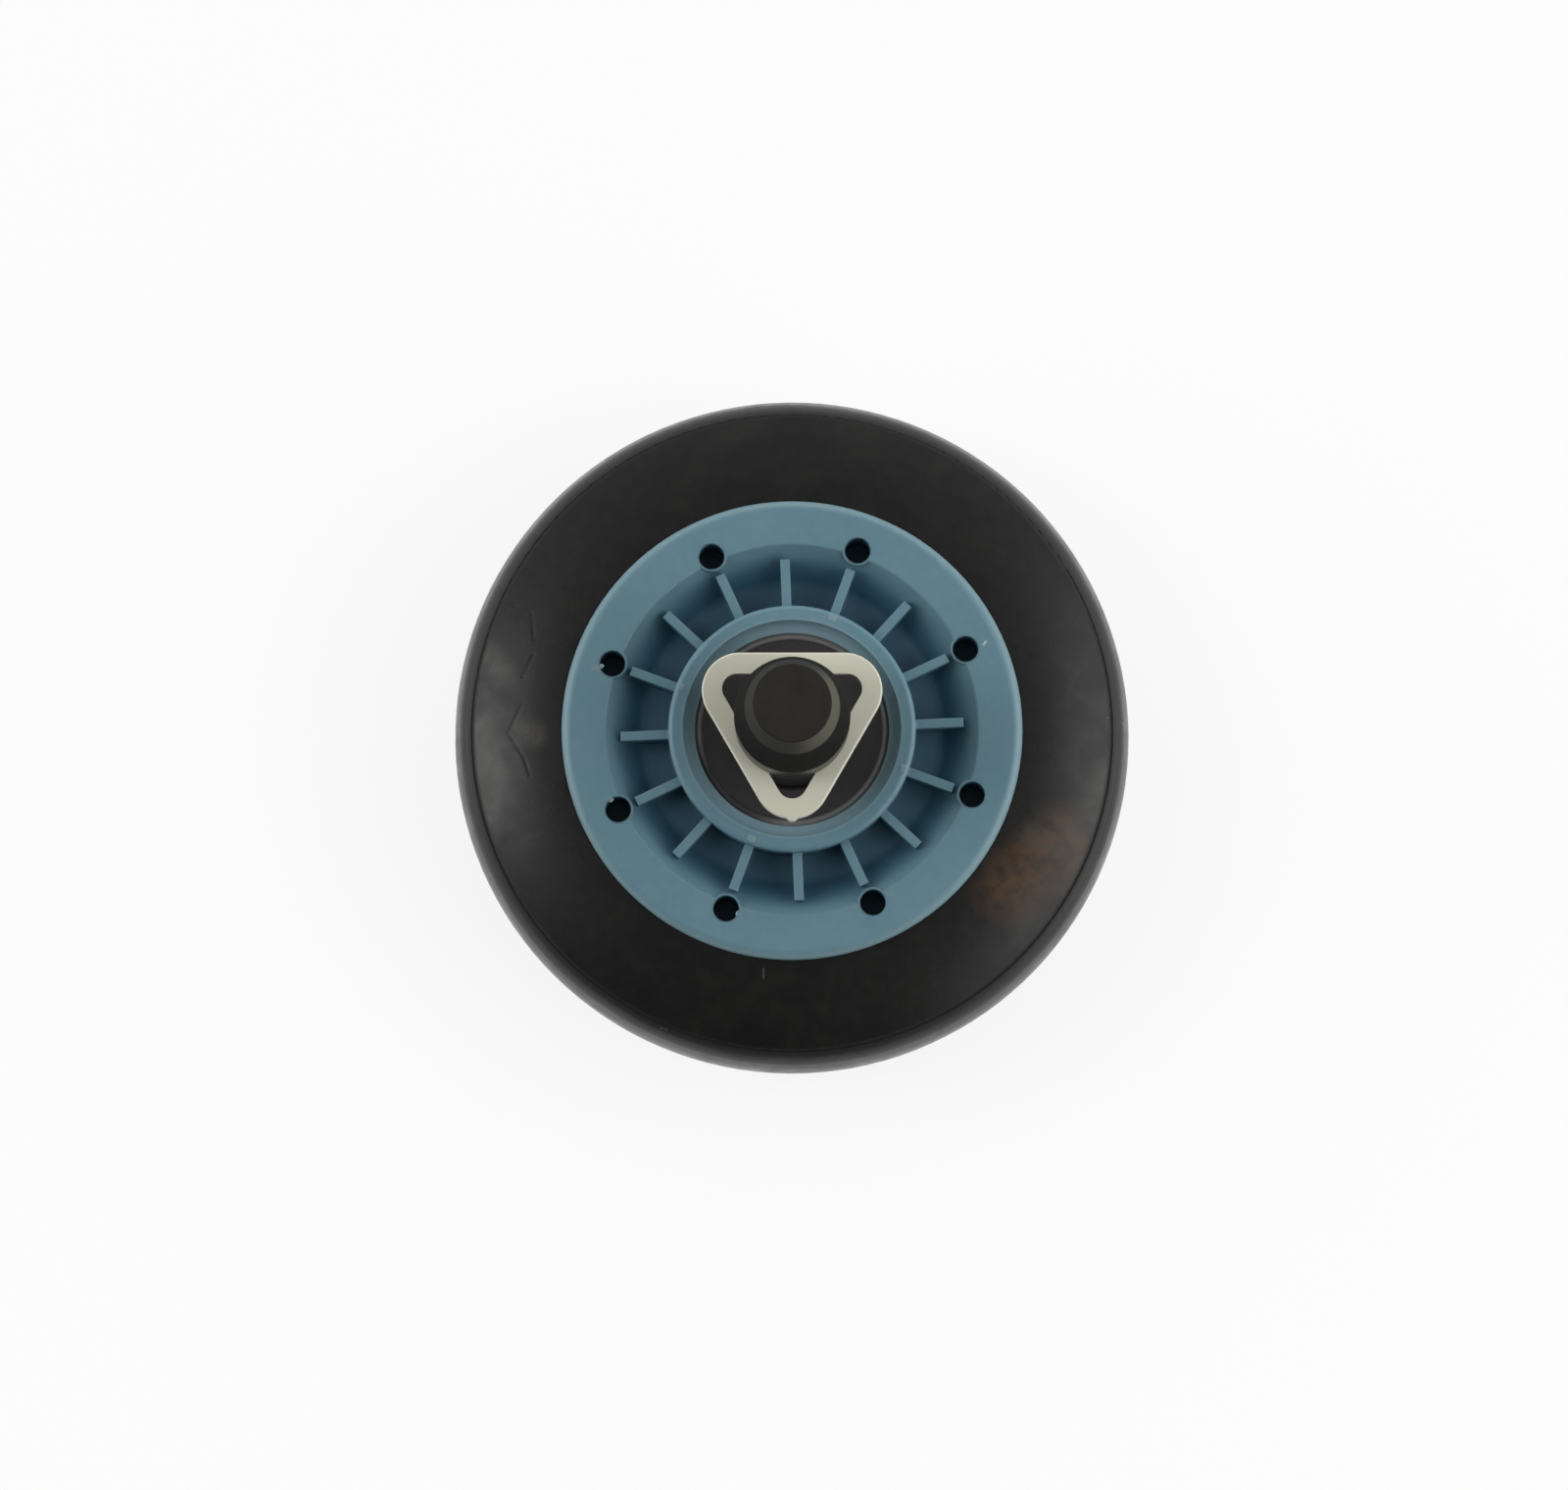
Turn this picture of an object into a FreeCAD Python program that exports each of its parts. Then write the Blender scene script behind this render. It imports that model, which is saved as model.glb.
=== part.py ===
import FreeCAD, Part
import math
import os
import Sketcher
from types import SimpleNamespace

# Dryer drum roller: a rubber tyre on a ribbed moulded hub, which turns on a
# sintered bush along a fixed steel shaft. A triangular ring in the shaft's
# groove keeps it on at the front, and a collar with a washer at the rear.
# +Z points along the shaft towards its nose. The rear ends of the hub's boss
# and of the shaft lie in the plane z = 0, on the shaft's own axis.

# Driving dimensions in millimetres, and rib_angle in degrees

sizes = {
    # Shaft
    "shaft_radius": 7.0,
    "collar_inset": 0.4,
    "collar_thickness": 3.0,
    "collar_chamfer": 0.5,
    "groove_depth": 0.7,
    "groove_chamfer": 0.35,
    "seat_length": 6.35,
    "nose_length": 9.0,
    "nose_taper": 1.33,
    "tip_length": 4.1,
    "tip_taper": 1.01,
    "thread_core_radius": 3.4,
    "thread_depth": 16.0,
    "thread_mouth_chamfer": 0.7,
    "drill_point_depth": 2.0,

    # Thrust washer between the collar and the bush
    "washer_thickness": 1.2,
    "washer_gap": 0.15,
    "washer_bore_clearance": 0.15,
    "washer_edge": 0.15,

    # Bush, and its room to slide along the shaft before it meets the ring
    "running_clearance": 0.05,
    "bush_wall": 4.85,
    "bush_chamfer": 0.9,
    "bush_bore_chamfer": 0.4,
    "float_room": 9.5,

    # Hub: boss and the recesses at its two ends
    "boss_length": 21.2,
    "recess_ledge": 1.4,
    "recess_depth": 1.7,
    "recess_round": 1.0,
    "boss_wall": 1.85,
    "boss_round": 0.6,

    # Hub: dishes, web and rim
    "boss_proud": 1.1,
    "dish_depth": 4.8,
    "dish_floor_width": 3.45,
    "dish_slope_width": 4.2,
    "dish_edge_round": 0.3,
    "dish_foot_round": 1.6,
    "web_thickness": 3.0,
    "flange_width": 5.45,
    "rim_round": 1.2,
    "rim_wall": 3.4,
    "rear_dish_draft": 0.8,
    "rear_foot_round": 1.0,

    # Hub: ribs
    "rib_count": 16,
    "rib_angle": 2.4,
    "rib_thickness": 1.14,
    "rib_overhang": 2.4,
    "rib_drop": 0.4,

    # Hub: blind holes in the flange, each in a thin-walled socket
    "hole_count": 8,
    "hole_radius": 1.57,
    "hole_setback": 0.63,
    "hole_wall": 0.28,
    "hole_floor": 1.0,

    # Tyre, and the channel of the rim that its bead fills
    "tyre_height": 13.4,
    "rim_lip": 1.1,
    "bead_step": 1.3,
    "channel_depth": 1.65,
    "crown_radius": 12.0,
    "shoulder_radius": 3.55,
    "crease_setback": 1.77899,
    "side_drop": 2.3,
    "side_radius": 50.0,
    "parting_line_radius": 0.14,

    # Triangular retaining ring
    "ring_thickness": 1.6,
    "ring_play": 0.05,
    "ring_web": 1.94,
    "ring_corner_round": 4.58,
    "ring_edge_round": 0.25,
    "relief_setback": 0.65,
    "relief_corner_round": 1.8,
    "gate_width": 1.3,
    "gate_tip_width": 0.5,
    "gate_height": 1.5,
    "gate_proud": 0.3,
}


class Size:
    """A length with the sheet expression that it comes from."""

    def __init__(self, text, value):
        self.text = text
        self.value = value

    def joined(self, sign, other, value):
        return Size("(%s %s %s)" % (self.text, sign, text_of(other)), value)

    def __add__(self, other):
        return self.joined("+", other, self.value + value_of(other))

    def __sub__(self, other):
        return self.joined("-", other, self.value - value_of(other))

    def __mul__(self, other):
        return self.joined("*", other, self.value * value_of(other))

    def __truediv__(self, other):
        return self.joined("/", other, self.value / value_of(other))

    def __neg__(self):
        return Size("(-1 * %s)" % self.text, -self.value)


def text_of(number):
    return number.text if isinstance(number, Size) else repr(number)


def value_of(number):
    return number.value if isinstance(number, Size) else number


def square_root(area):
    return Size("sqrt(%s)" % area.text, math.sqrt(area.value))


def around(radius, count):
    """A point on this radius, turned by one of so many equal steps."""
    step = 2 * math.pi / count.value
    text = "(%s * %s(360deg / %s))"
    x = Size(text % (radius.text, "cos", count.text), radius.value * math.cos(step))
    y = Size(text % (radius.text, "sin", count.text), radius.value * math.sin(step))
    return x, y


document = FreeCAD.newDocument("drum_roller")
sheet = document.addObject("Spreadsheet::Sheet", "Sizes")
size = SimpleNamespace()
for row, (name, number) in enumerate(sizes.items(), 1):
    sheet.set("A%d" % row, name)
    sheet.set("B%d" % row, str(number))
    sheet.setAlias("B%d" % row, name)
    setattr(size, name, Size("Sizes.%s" % name, number))
document.recompute()

# Radii, from the shaft outwards
groove_radius = size.shaft_radius - size.groove_depth
nose_bend_radius = size.shaft_radius - size.nose_taper
tip_radius = nose_bend_radius - size.tip_taper
bore_radius = size.shaft_radius + size.running_clearance
washer_bore = size.shaft_radius + size.washer_bore_clearance
bush_radius = bore_radius + size.bush_wall
collar_radius = bush_radius - size.collar_inset
recess_radius = bush_radius + size.recess_ledge
boss_radius = recess_radius + size.boss_wall
dish_foot_radius = boss_radius + size.dish_floor_width
dish_radius = dish_foot_radius + size.dish_slope_width
rib_reach = dish_foot_radius + size.rib_overhang
hole_circle_radius = dish_radius + size.hole_setback
rim_radius = dish_radius + size.flange_width
bead_radius = rim_radius - size.channel_depth
rear_dish_radius = bead_radius - size.rim_wall
tyre_radius = rim_radius + size.tyre_height

# Heights in the hub, the tyre and the bush
middle = size.boss_length / 2
rear_face = size.boss_proud
front_face = size.boss_length - size.boss_proud
web_front = front_face - size.dish_depth
web_rear = web_front - size.web_thickness
rib_top = front_face - size.rib_drop
rib_bottom = rear_face + size.rib_drop
tyre_rear = rear_face + size.rim_lip
tyre_front = front_face - size.rim_lip
crease_rear = tyre_rear + size.side_drop
crease_front = tyre_front - size.side_drop
bead_rear = tyre_rear + size.bead_step
bead_front = tyre_front - size.bead_step
washer_bottom = size.collar_thickness + size.washer_gap
washer_top = washer_bottom + size.washer_thickness
rear_recess_floor = washer_top + size.washer_gap
recess_floor = size.boss_length - size.recess_depth

# Heights along the shaft, past the bush
ring_bottom = recess_floor + size.float_room
ring_top = ring_bottom + size.ring_thickness
groove_start = ring_bottom - size.ring_play
groove_end = ring_top + size.ring_play
nose_start = groove_end + size.seat_length
nose_bend = nose_start + size.nose_length
shaft_length = nose_bend + size.tip_length


def origin_part(body, role):
    """The plane or axis of the body's own origin that has this role."""
    for feature in body.Origin.OriginFeatures:
        if feature.Role == role:
            return feature
    raise ValueError(role)


def new_body(label):
    body = document.addObject("PartDesign::Body", label)
    body.Label = label
    return body


def sketch_on(body, name, role, height=None):
    """An empty sketch on a plane of the body's origin, raised to a height."""
    sketch = body.newObject("Sketcher::SketchObject", name)
    sketch.AttachmentSupport = (origin_part(body, role), [""])
    sketch.MapMode = "FlatFace"
    if height is not None:
        sketch.setExpression("AttachmentOffset.Base.z", height.text)
    return sketch


def hold(sketch, direction, curve, point, number):
    """Fix one coordinate of a point, or put it on the axis where it is zero."""
    if isinstance(number, Size):
        index = sketch.addConstraint(
            Sketcher.Constraint(direction, -1, 1, curve, point, number.value))
        sketch.setExpression("Constraints[%d]" % index, number.text)
        return
    axis = -2 if direction == "DistanceX" else -1
    sketch.addConstraint(Sketcher.Constraint("PointOnObject", curve, point, axis))


def draw_outline(sketch, corners, arcs=None):
    """A closed outline through corners. An arc replaces the side that starts
    at its index and has the given centre and radius."""
    arcs = arcs or {}
    places = [FreeCAD.Vector(value_of(x), value_of(y), 0) for x, y in corners]
    starts = []
    for index, place in enumerate(places):
        after = places[(index + 1) % len(places)]
        if index in arcs:
            centre = FreeCAD.Vector(*[value_of(number) for number in arcs[index][:2]], 0)
            circle = Part.Circle(centre, FreeCAD.Vector(0, 0, 1), arcs[index][2].value)
            curve = Part.ArcOfCircle(circle, circle.parameter(place), circle.parameter(after))
        else:
            curve = Part.LineSegment(place, after)
        starts.append(sketch.addGeometry(curve, False))
    for index, start in enumerate(starts):
        after = starts[(index + 1) % len(starts)]
        sketch.addConstraint(Sketcher.Constraint("Coincident", start, 2, after, 1))
    for start, corner in zip(starts, corners):
        hold(sketch, "DistanceX", start, 1, corner[0])
        hold(sketch, "DistanceY", start, 1, corner[1])
    for index, (x, y, radius) in arcs.items():
        constraint = sketch.addConstraint(
            Sketcher.Constraint("Radius", starts[index], radius.value))
        sketch.setExpression("Constraints[%d]" % constraint, radius.text)


def draw_circle(sketch, radius, x=0, y=0):
    place = FreeCAD.Vector(value_of(x), value_of(y), 0)
    circle = Part.Circle(place, FreeCAD.Vector(0, 0, 1), radius.value)
    index = sketch.addGeometry(circle, False)
    constraint = sketch.addConstraint(Sketcher.Constraint("Radius", index, radius.value))
    sketch.setExpression("Constraints[%d]" % constraint, radius.text)
    hold(sketch, "DistanceX", index, 3, x)
    hold(sketch, "DistanceY", index, 3, y)


def settled(feature):
    """Recompute, and stop if the feature failed."""
    document.recompute()
    if "Invalid" in feature.State or "Error" in feature.State or feature.Shape.isNull():
        raise ValueError("%s failed" % feature.Name)
    return feature


def revolved(body, name, corners, arcs=None):
    """A full turn about the shaft's axis of an outline of radius and height."""
    sketch = sketch_on(body, name + "_section", "XZ_Plane")
    draw_outline(sketch, corners, arcs)
    turn = body.newObject("PartDesign::Revolution", name)
    turn.Profile = sketch
    turn.ReferenceAxis = (sketch, ["V_Axis"])
    turn.Angle = 360
    return settled(turn)


def padded(body, sketch, name, length):
    pad = body.newObject("PartDesign::Pad", name)
    pad.Profile = sketch
    pad.setExpression("Length", length.text)
    return settled(pad)


def pocketed(body, sketch, name, length):
    """A pocket that cuts down from its sketch, checked to remove something."""
    before = body.Shape.Volume
    pocket = body.newObject("PartDesign::Pocket", name)
    pocket.Profile = sketch
    pocket.setExpression("Length", length.text)
    settled(pocket)
    if body.Shape.Volume >= before:
        raise ValueError("%s cut nothing" % name)
    return pocket


def repeated(body, feature, name, count):
    """Copies of a feature, evenly spaced round the shaft's axis."""
    pattern = body.newObject("PartDesign::PolarPattern", name)
    pattern.Originals = [feature]
    pattern.Axis = (origin_part(body, "Z_Axis"), [""])
    pattern.Angle = 360
    pattern.setExpression("Occurrences", count.text)
    body.Tip = pattern
    return settled(pattern)


def rounded(body, name, radius, edges):
    base = body.Tip
    fillet = body.newObject("PartDesign::Fillet", name)
    fillet.Base = (base, edges)
    fillet.setExpression("Radius", radius.text)
    body.Tip = fillet
    return settled(fillet)


def same(first, second):
    """True where two lengths differ by less than a micrometre."""
    return math.isclose(first, second, abs_tol=1e-3)


def circle_edges(body, *places):
    """Names of the round edges at the given radii and heights."""
    found = []
    for number, edge in enumerate(body.Tip.Shape.Edges, 1):
        if not isinstance(edge.Curve, Part.Circle):
            continue
        for radius, height in places:
            level = same(edge.Curve.Center.z, value_of(height))
            if level and same(edge.Curve.Radius, radius.value):
                found.append("Edge%d" % number)
    return found


def upright_edges(body, reach):
    """Names of the straight edges along Z at this distance from the axis."""
    found = []
    for number, edge in enumerate(body.Tip.Shape.Edges, 1):
        box = edge.BoundBox
        upright = same(box.XMin, box.XMax) and same(box.YMin, box.YMax)
        if upright and same(math.hypot(box.XMin, box.YMin), reach.value):
            found.append("Edge%d" % number)
    return found


def level_edges(body, *heights):
    """Names of the edges that lie flat at one of these heights."""
    found = []
    for number, edge in enumerate(body.Tip.Shape.Edges, 1):
        box = edge.BoundBox
        for height in heights:
            if same(box.ZMin, height.value) and same(box.ZMax, height.value):
                found.append("Edge%d" % number)
    return found


# Hub: a ring section turned about the axis, open at the bush's seat

hub = new_body("hub")
revolved(hub, "hub_ring", [
    (bush_radius, rear_recess_floor),
    (recess_radius, rear_recess_floor),
    (recess_radius, 0),
    (boss_radius, 0),
    (boss_radius, web_rear),
    (rear_dish_radius - size.rear_dish_draft, web_rear),
    (rear_dish_radius, rear_face),
    (rim_radius, rear_face),
    (rim_radius, bead_rear),
    (bead_radius, bead_rear),
    (bead_radius, bead_front),
    (rim_radius, bead_front),
    (rim_radius, front_face),
    (dish_radius, front_face),
    (dish_foot_radius, web_front),
    (boss_radius, web_front),
    (boss_radius, size.boss_length),
    (recess_radius, size.boss_length),
    (recess_radius, recess_floor),
    (bush_radius, recess_floor),
])
rounded(hub, "rim_rounds", size.rim_round, circle_edges(
    hub, (rim_radius, rear_face), (rim_radius, front_face)))
rounded(hub, "boss_rounds", size.boss_round, circle_edges(
    hub, (boss_radius, 0), (boss_radius, size.boss_length)))
rounded(hub, "recess_cove", size.recess_round, circle_edges(hub, (recess_radius, recess_floor)))
rounded(hub, "dish_cove", size.dish_foot_round, circle_edges(hub, (dish_foot_radius, web_front)))
rounded(hub, "dish_edge", size.dish_edge_round, circle_edges(hub, (dish_radius, front_face)))
rounded(hub, "rear_coves", size.rear_foot_round, circle_edges(
    hub, (boss_radius, web_rear), (rear_dish_radius - size.rear_dish_draft, web_rear)))

# Front ribs stand free of the dish's sloped wall at their outer ends

rib_root = boss_radius - size.rib_thickness / 2
front_rib_sketch = sketch_on(hub, "front_rib_plan", "XY_Plane", web_front)
draw_outline(front_rib_sketch, [
    (rib_root, -size.rib_thickness / 2),
    (rib_reach, -size.rib_thickness / 2),
    (rib_reach, size.rib_thickness / 2),
    (rib_root, size.rib_thickness / 2),
])
front_rib = padded(hub, front_rib_sketch, "front_rib", rib_top - web_front)
repeated(hub, front_rib, "front_ribs", size.rib_count)

# Rear ribs run the whole way from the boss to the rim

rear_rib_sketch = sketch_on(hub, "rear_rib_plan", "XY_Plane", rib_bottom)
draw_outline(rear_rib_sketch, [
    (rib_root, -size.rib_thickness / 2),
    (rear_dish_radius + size.rib_thickness / 2, -size.rib_thickness / 2),
    (rear_dish_radius + size.rib_thickness / 2, size.rib_thickness / 2),
    (rib_root, size.rib_thickness / 2),
])
rear_rib = padded(hub, rear_rib_sketch, "rear_rib", web_rear - rib_bottom)
repeated(hub, rear_rib, "rear_ribs", size.rib_count)

# Every second rib points at a blind hole, in a socket that bulges into the dish

hole_x, hole_y = around(hole_circle_radius, size.rib_count)
socket_sketch = sketch_on(hub, "socket_plan", "XY_Plane", web_front)
draw_circle(socket_sketch, size.hole_radius + size.hole_wall, hole_x, hole_y)
socket = padded(hub, socket_sketch, "socket", size.dish_depth)
repeated(hub, socket, "sockets", size.hole_count)

hole_sketch = sketch_on(hub, "hole_plan", "XY_Plane", front_face)
draw_circle(hole_sketch, size.hole_radius, hole_x, hole_y)
hole = pocketed(hub, hole_sketch, "hole", front_face - web_rear - size.hole_floor)
repeated(hub, hole, "holes", size.hole_count)

hub.Placement = FreeCAD.Placement(
    FreeCAD.Vector(0, 0, 0), FreeCAD.Rotation(FreeCAD.Vector(0, 0, 1), size.rib_angle.value))
hub.setExpression("Placement.Rotation.Angle", size.rib_angle.text)

# Tyre: a crowned tread, rounded shoulders, domed sides that fall away from the
# rim, and a bead that fills the rim's channel

tyre = new_body("tyre")
crown_centre = tyre_radius - size.crown_radius

# Each shoulder ends in a crease, set out this far from the shoulder's centre
crease_rise = square_root(
    size.shoulder_radius * size.shoulder_radius - size.crease_setback * size.crease_setback)
shoulder_offset = crease_front - middle - crease_rise

# The crown runs on smoothly into the shoulders
past_shoulder = size.crown_radius - size.shoulder_radius
half_crown = shoulder_offset * size.crown_radius / past_shoulder
crown_reach = square_root(size.crown_radius * size.crown_radius - half_crown * half_crown)
crown_edge = crown_centre + crown_reach
shoulder_centre = crown_centre + crown_reach * past_shoulder / size.crown_radius
crease_radius = shoulder_centre + size.crease_setback

# The side's centre lies square to the middle of the line from rim to crease
side_width = crease_radius - rim_radius
side_chord = square_root(side_width * side_width + size.side_drop * size.side_drop)
side_depth = square_root(size.side_radius * size.side_radius - side_chord * side_chord / 4)
side_centre = rim_radius + side_width / 2 - size.side_drop * side_depth / side_chord
side_fall = size.side_drop / 2 + side_width * side_depth / side_chord
revolved(tyre, "tyre_ring", [
    (crown_edge, middle - half_crown),
    (crown_edge, middle + half_crown),
    (crease_radius, crease_front),
    (rim_radius, tyre_front),
    (rim_radius, bead_front),
    (bead_radius, bead_front),
    (bead_radius, bead_rear),
    (rim_radius, bead_rear),
    (rim_radius, tyre_rear),
    (crease_radius, crease_rear),
], {
    0: (crown_centre, middle, size.crown_radius),
    1: (shoulder_centre, middle + shoulder_offset, size.shoulder_radius),
    2: (side_centre, tyre_front - side_fall, size.side_radius),
    8: (side_centre, tyre_rear + side_fall, size.side_radius),
    9: (shoulder_centre, middle - shoulder_offset, size.shoulder_radius),
})

# The mould's parts meet at the creases, and leave a fine line there
parting_sketch = sketch_on(tyre, "parting_section", "XZ_Plane")
draw_circle(parting_sketch, size.parting_line_radius, crease_radius, crease_front)
draw_circle(parting_sketch, size.parting_line_radius, crease_radius, crease_rear)
parting_lines = tyre.newObject("PartDesign::Groove", "parting_lines")
parting_lines.Profile = parting_sketch
parting_lines.ReferenceAxis = (parting_sketch, ["V_Axis"])
parting_lines.Angle = 360
settled(parting_lines)

# Bush: plain sintered sleeve, chamfered at both ends

bush = new_body("bush")
revolved(bush, "bush_sleeve", [
    (bore_radius, rear_recess_floor + size.bush_bore_chamfer),
    (bore_radius + size.bush_bore_chamfer, rear_recess_floor),
    (bush_radius - size.bush_chamfer, rear_recess_floor),
    (bush_radius, rear_recess_floor + size.bush_chamfer),
    (bush_radius, recess_floor - size.bush_chamfer),
    (bush_radius - size.bush_chamfer, recess_floor),
    (bore_radius + size.bush_bore_chamfer, recess_floor),
    (bore_radius, recess_floor - size.bush_bore_chamfer),
])

# Thrust washer

washer = new_body("thrust_washer")
revolved(washer, "washer_disc", [
    (washer_bore, washer_bottom),
    (collar_radius - size.washer_edge, washer_bottom),
    (collar_radius, washer_bottom + size.washer_edge),
    (collar_radius, washer_top - size.washer_edge),
    (collar_radius - size.washer_edge, washer_top),
    (washer_bore, washer_top),
])

# Shaft: collar, running length, ring groove and long tapered nose, with a
# tapped blind hole in its rear end

shaft = new_body("shaft")
revolved(shaft, "shaft_turning", [
    (0, shaft_length),
    (0, size.thread_depth + size.drill_point_depth),
    (size.thread_core_radius, size.thread_depth),
    (size.thread_core_radius, size.thread_mouth_chamfer),
    (size.thread_core_radius + size.thread_mouth_chamfer, 0),
    (collar_radius - size.collar_chamfer, 0),
    (collar_radius, size.collar_chamfer),
    (collar_radius, size.collar_thickness - size.collar_chamfer),
    (collar_radius - size.collar_chamfer, size.collar_thickness),
    (size.shaft_radius, size.collar_thickness),
    (size.shaft_radius, groove_start - size.groove_chamfer),
    (size.shaft_radius - size.groove_chamfer, groove_start),
    (groove_radius, groove_start),
    (groove_radius, groove_end),
    (size.shaft_radius, groove_end),
    (size.shaft_radius, nose_start),
    (nose_bend_radius, nose_bend),
    (tip_radius, shaft_length),
])

# Retaining ring: a triangle with round corners, which grips the groove at the
# middle of its three sides and is relieved in its corners

def triangle(sketch, side):
    """A triangle point down, with its sides at this distance from the axis."""
    half_side = side * math.sqrt(3)
    draw_outline(sketch, [(half_side, side), (-half_side, side), (0, -side * 2)])


ring = new_body("retaining_ring")
ring_side = groove_radius + size.ring_web
ring_reach = ring_side * 2 - size.ring_corner_round
ring_sketch = sketch_on(ring, "ring_plan", "XY_Plane", ring_bottom)
triangle(ring_sketch, ring_side)
padded(ring, ring_sketch, "ring_plate", size.ring_thickness)
rounded(ring, "ring_corners", size.ring_corner_round, upright_edges(ring, ring_side * 2))
rounded(ring, "ring_edges", size.ring_edge_round, level_edges(ring, ring_bottom, ring_top))

gate_bottom = ring_bottom + (size.ring_thickness - size.gate_height) / 2
gate_sketch = sketch_on(ring, "gate_plan", "XY_Plane", gate_bottom)
draw_outline(gate_sketch, [
    (size.gate_width / 2, -ring_reach + size.gate_width),
    (-size.gate_width / 2, -ring_reach + size.gate_width),
    (-size.gate_width / 2, -ring_reach),
    (-size.gate_tip_width / 2, -ring_reach - size.gate_proud),
    (size.gate_tip_width / 2, -ring_reach - size.gate_proud),
    (size.gate_width / 2, -ring_reach),
])
padded(ring, gate_sketch, "gate_mark", size.gate_height)

grip_sketch = sketch_on(ring, "grip_plan", "XY_Plane", ring_top)
draw_circle(grip_sketch, groove_radius)
pocketed(ring, grip_sketch, "grip_bore", size.ring_thickness)

relief_side = groove_radius - size.relief_setback
relief_sketch = sketch_on(ring, "relief_plan", "XY_Plane", ring_top)
triangle(relief_sketch, relief_side)
pocketed(ring, relief_sketch, "corner_reliefs", size.ring_thickness)
rounded(ring, "relief_corners", size.relief_corner_round, upright_edges(ring, relief_side * 2))

# Each piece goes to a file of its own name

document.recompute()
pieces = [hub, tyre, bush, washer, shaft, ring]
for thing in document.Objects:
    if "Invalid" in thing.State or "Error" in thing.State:
        raise ValueError("%s failed" % thing.Label)
for piece in pieces:
    if piece.Shape.isNull() or not piece.Shape.isValid():
        raise ValueError("%s has no sound shape" % piece.Label)
os.makedirs("parts", exist_ok=True)
for piece in pieces:
    piece.Shape.exportStep("parts/%s.step" % piece.Label)
    print(piece.Label, len(piece.Shape.Solids), round(piece.Shape.Volume, 1))
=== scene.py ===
from math import cos, pi, radians, sin

import bpy
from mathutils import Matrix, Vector


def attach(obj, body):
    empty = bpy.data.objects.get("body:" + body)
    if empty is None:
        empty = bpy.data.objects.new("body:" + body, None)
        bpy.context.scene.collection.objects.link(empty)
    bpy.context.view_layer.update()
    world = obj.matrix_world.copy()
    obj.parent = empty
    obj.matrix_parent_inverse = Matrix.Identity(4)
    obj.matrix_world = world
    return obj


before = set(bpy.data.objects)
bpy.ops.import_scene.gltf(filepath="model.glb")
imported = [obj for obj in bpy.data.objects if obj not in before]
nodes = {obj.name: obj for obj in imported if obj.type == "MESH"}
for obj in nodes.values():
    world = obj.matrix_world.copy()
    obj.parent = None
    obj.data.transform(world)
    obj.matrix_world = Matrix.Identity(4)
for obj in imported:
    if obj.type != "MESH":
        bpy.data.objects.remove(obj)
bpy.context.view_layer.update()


# Floor: a sheet of matt white card on which the roller stands. The camera and
# reflections see it evenly lit, and a small matt share keeps the soft shadow.
floor_width = 3.0
floor_gap = 0.0001  # metres under the roller's rear end
floor_glow = 0.84


def colour(code):
    """The linear colour of an sRGB hex value."""
    channels = [int(code[place:place + 2], 16) / 255 for place in (1, 3, 5)]
    linear = [c / 12.92 if c <= 0.04045 else ((c + 0.055) / 1.055) ** 2.4 for c in channels]
    return (*linear, 1.0)


def add_node(tree, kind, sockets=None, **settings):
    """A new shader node. Sockets go by name or number, and each takes a value,
    an output, or a node whose first output in use feeds it."""
    node = tree.nodes.new("ShaderNode" + kind)
    for name, value in settings.items():
        setattr(node, name, value)
    for name, value in (sockets or {}).items():
        if isinstance(name, str):
            socket = next(s for s in node.inputs if s.enabled and s.name == name)
        else:
            socket = node.inputs[name]
        if isinstance(value, bpy.types.Node):
            value = next(s for s in value.outputs if s.enabled)
        if isinstance(value, bpy.types.NodeSocket):
            tree.links.new(value, socket)
        else:
            socket.default_value = value
    return node


bpy.ops.object.select_all(action="DESELECT")
bpy.ops.mesh.primitive_plane_add(size=floor_width, location=(0, 0, -floor_gap))
floor = bpy.context.object
floor.name = "floor"
card = bpy.data.materials.new("white_card")
card.use_nodes = True
tree = card.node_tree
tree.nodes.clear()
rays = add_node(tree, "LightPath")
seen = add_node(tree, "Math", {0: rays.outputs["Is Camera Ray"], 1: rays.outputs["Is Glossy Ray"]},
                operation="MAXIMUM")
seen = add_node(tree, "Math", {0: seen, 1: rays.outputs["Is Transmission Ray"]}, operation="MAXIMUM")
share = add_node(tree, "Math", {0: seen, 1: floor_glow}, operation="MULTIPLY")
matt = add_node(tree, "BsdfDiffuse", {"Color": colour("#fdfdfd")})
glow = add_node(tree, "Emission", {"Color": (1, 1, 1, 1), "Strength": 1.0})
mixed = add_node(tree, "MixShader", {0: share, 1: matt, 2: glow})
add_node(tree, "OutputMaterial", {"Surface": mixed})
floor.data.materials.append(card)


# Light: pale walls low down all round under a dim ceiling, a dark side nearest
# to the camera, and a soft panel left and right. Nothing shines from overhead,
# so the hub's dish stays deep and dark.
wall_light = 0.9              # on top of the haze above it
wall_top = (0.35, 0.65)       # sines of the elevation where it fades out
haze_light = 0.65
haze_top = (0.55, 1.0)
ceiling_light = 0.10
shade_way = radians(257.5)    # azimuth of the dark side's middle
shade_spread = (0.45, 0.80)   # cosine of the angle from there where it fades
shade_foot = (0.0, 0.12)
shade_light = 0.03

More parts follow.
